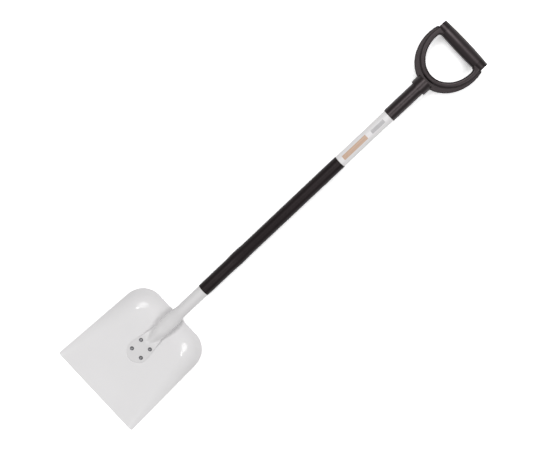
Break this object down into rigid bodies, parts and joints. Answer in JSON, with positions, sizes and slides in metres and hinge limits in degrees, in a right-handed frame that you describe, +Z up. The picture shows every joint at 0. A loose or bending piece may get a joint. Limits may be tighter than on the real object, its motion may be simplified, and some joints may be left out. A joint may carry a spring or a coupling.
{
  "type": "square-mouth shovel",
  "caption": "Long shovel with a square, dished white metal blade riveted to a bent tube shaft, a black sleeve on the shaft and a black D-shaped grip.",
  "frame": {"origin": "bottom centre of the bounding box, on the floor the shovel lies on, face up", "axes": "+Y from the blade's front edge to the grip, +X across the blade, +Z up from the floor"},
  "size_m": [0.2638, 1.2425, 0.1325],
  "materials": {
    "blade_paint": "satin white powder coat on pressed sheet steel",
    "tube_paint": "satin white powder coat on aluminium tube",
    "sleeve": "thin satin black plastic sleeve",
    "label": "pale printed film with plain bars and no lettering",
    "rivet": "bare aluminium",
    "mandrel": "bare steel, broken end",
    "grip": "satin black moulded plastic",
    "bar_cover": "satin black moulded plastic, slightly softer",
    "plug_left": "satin black moulded plastic",
    "plug_right": "satin black moulded plastic",
    "screw": "zinc-plated steel"
  },
  "bodies": {
    "root": {"blade": "blade_paint", "shaft_tube": "tube_paint", "shaft_sleeve": "sleeve", "label_film": "label", "rivet_bodies": "rivet", "rivet_mandrels": "mandrel", "grip_frame": "grip", "bar_cover": "bar_cover", "bar_plug_left": "plug_left", "bar_plug_right": "plug_right", "grip_screw": "screw"}
  },
  "joints": []
}
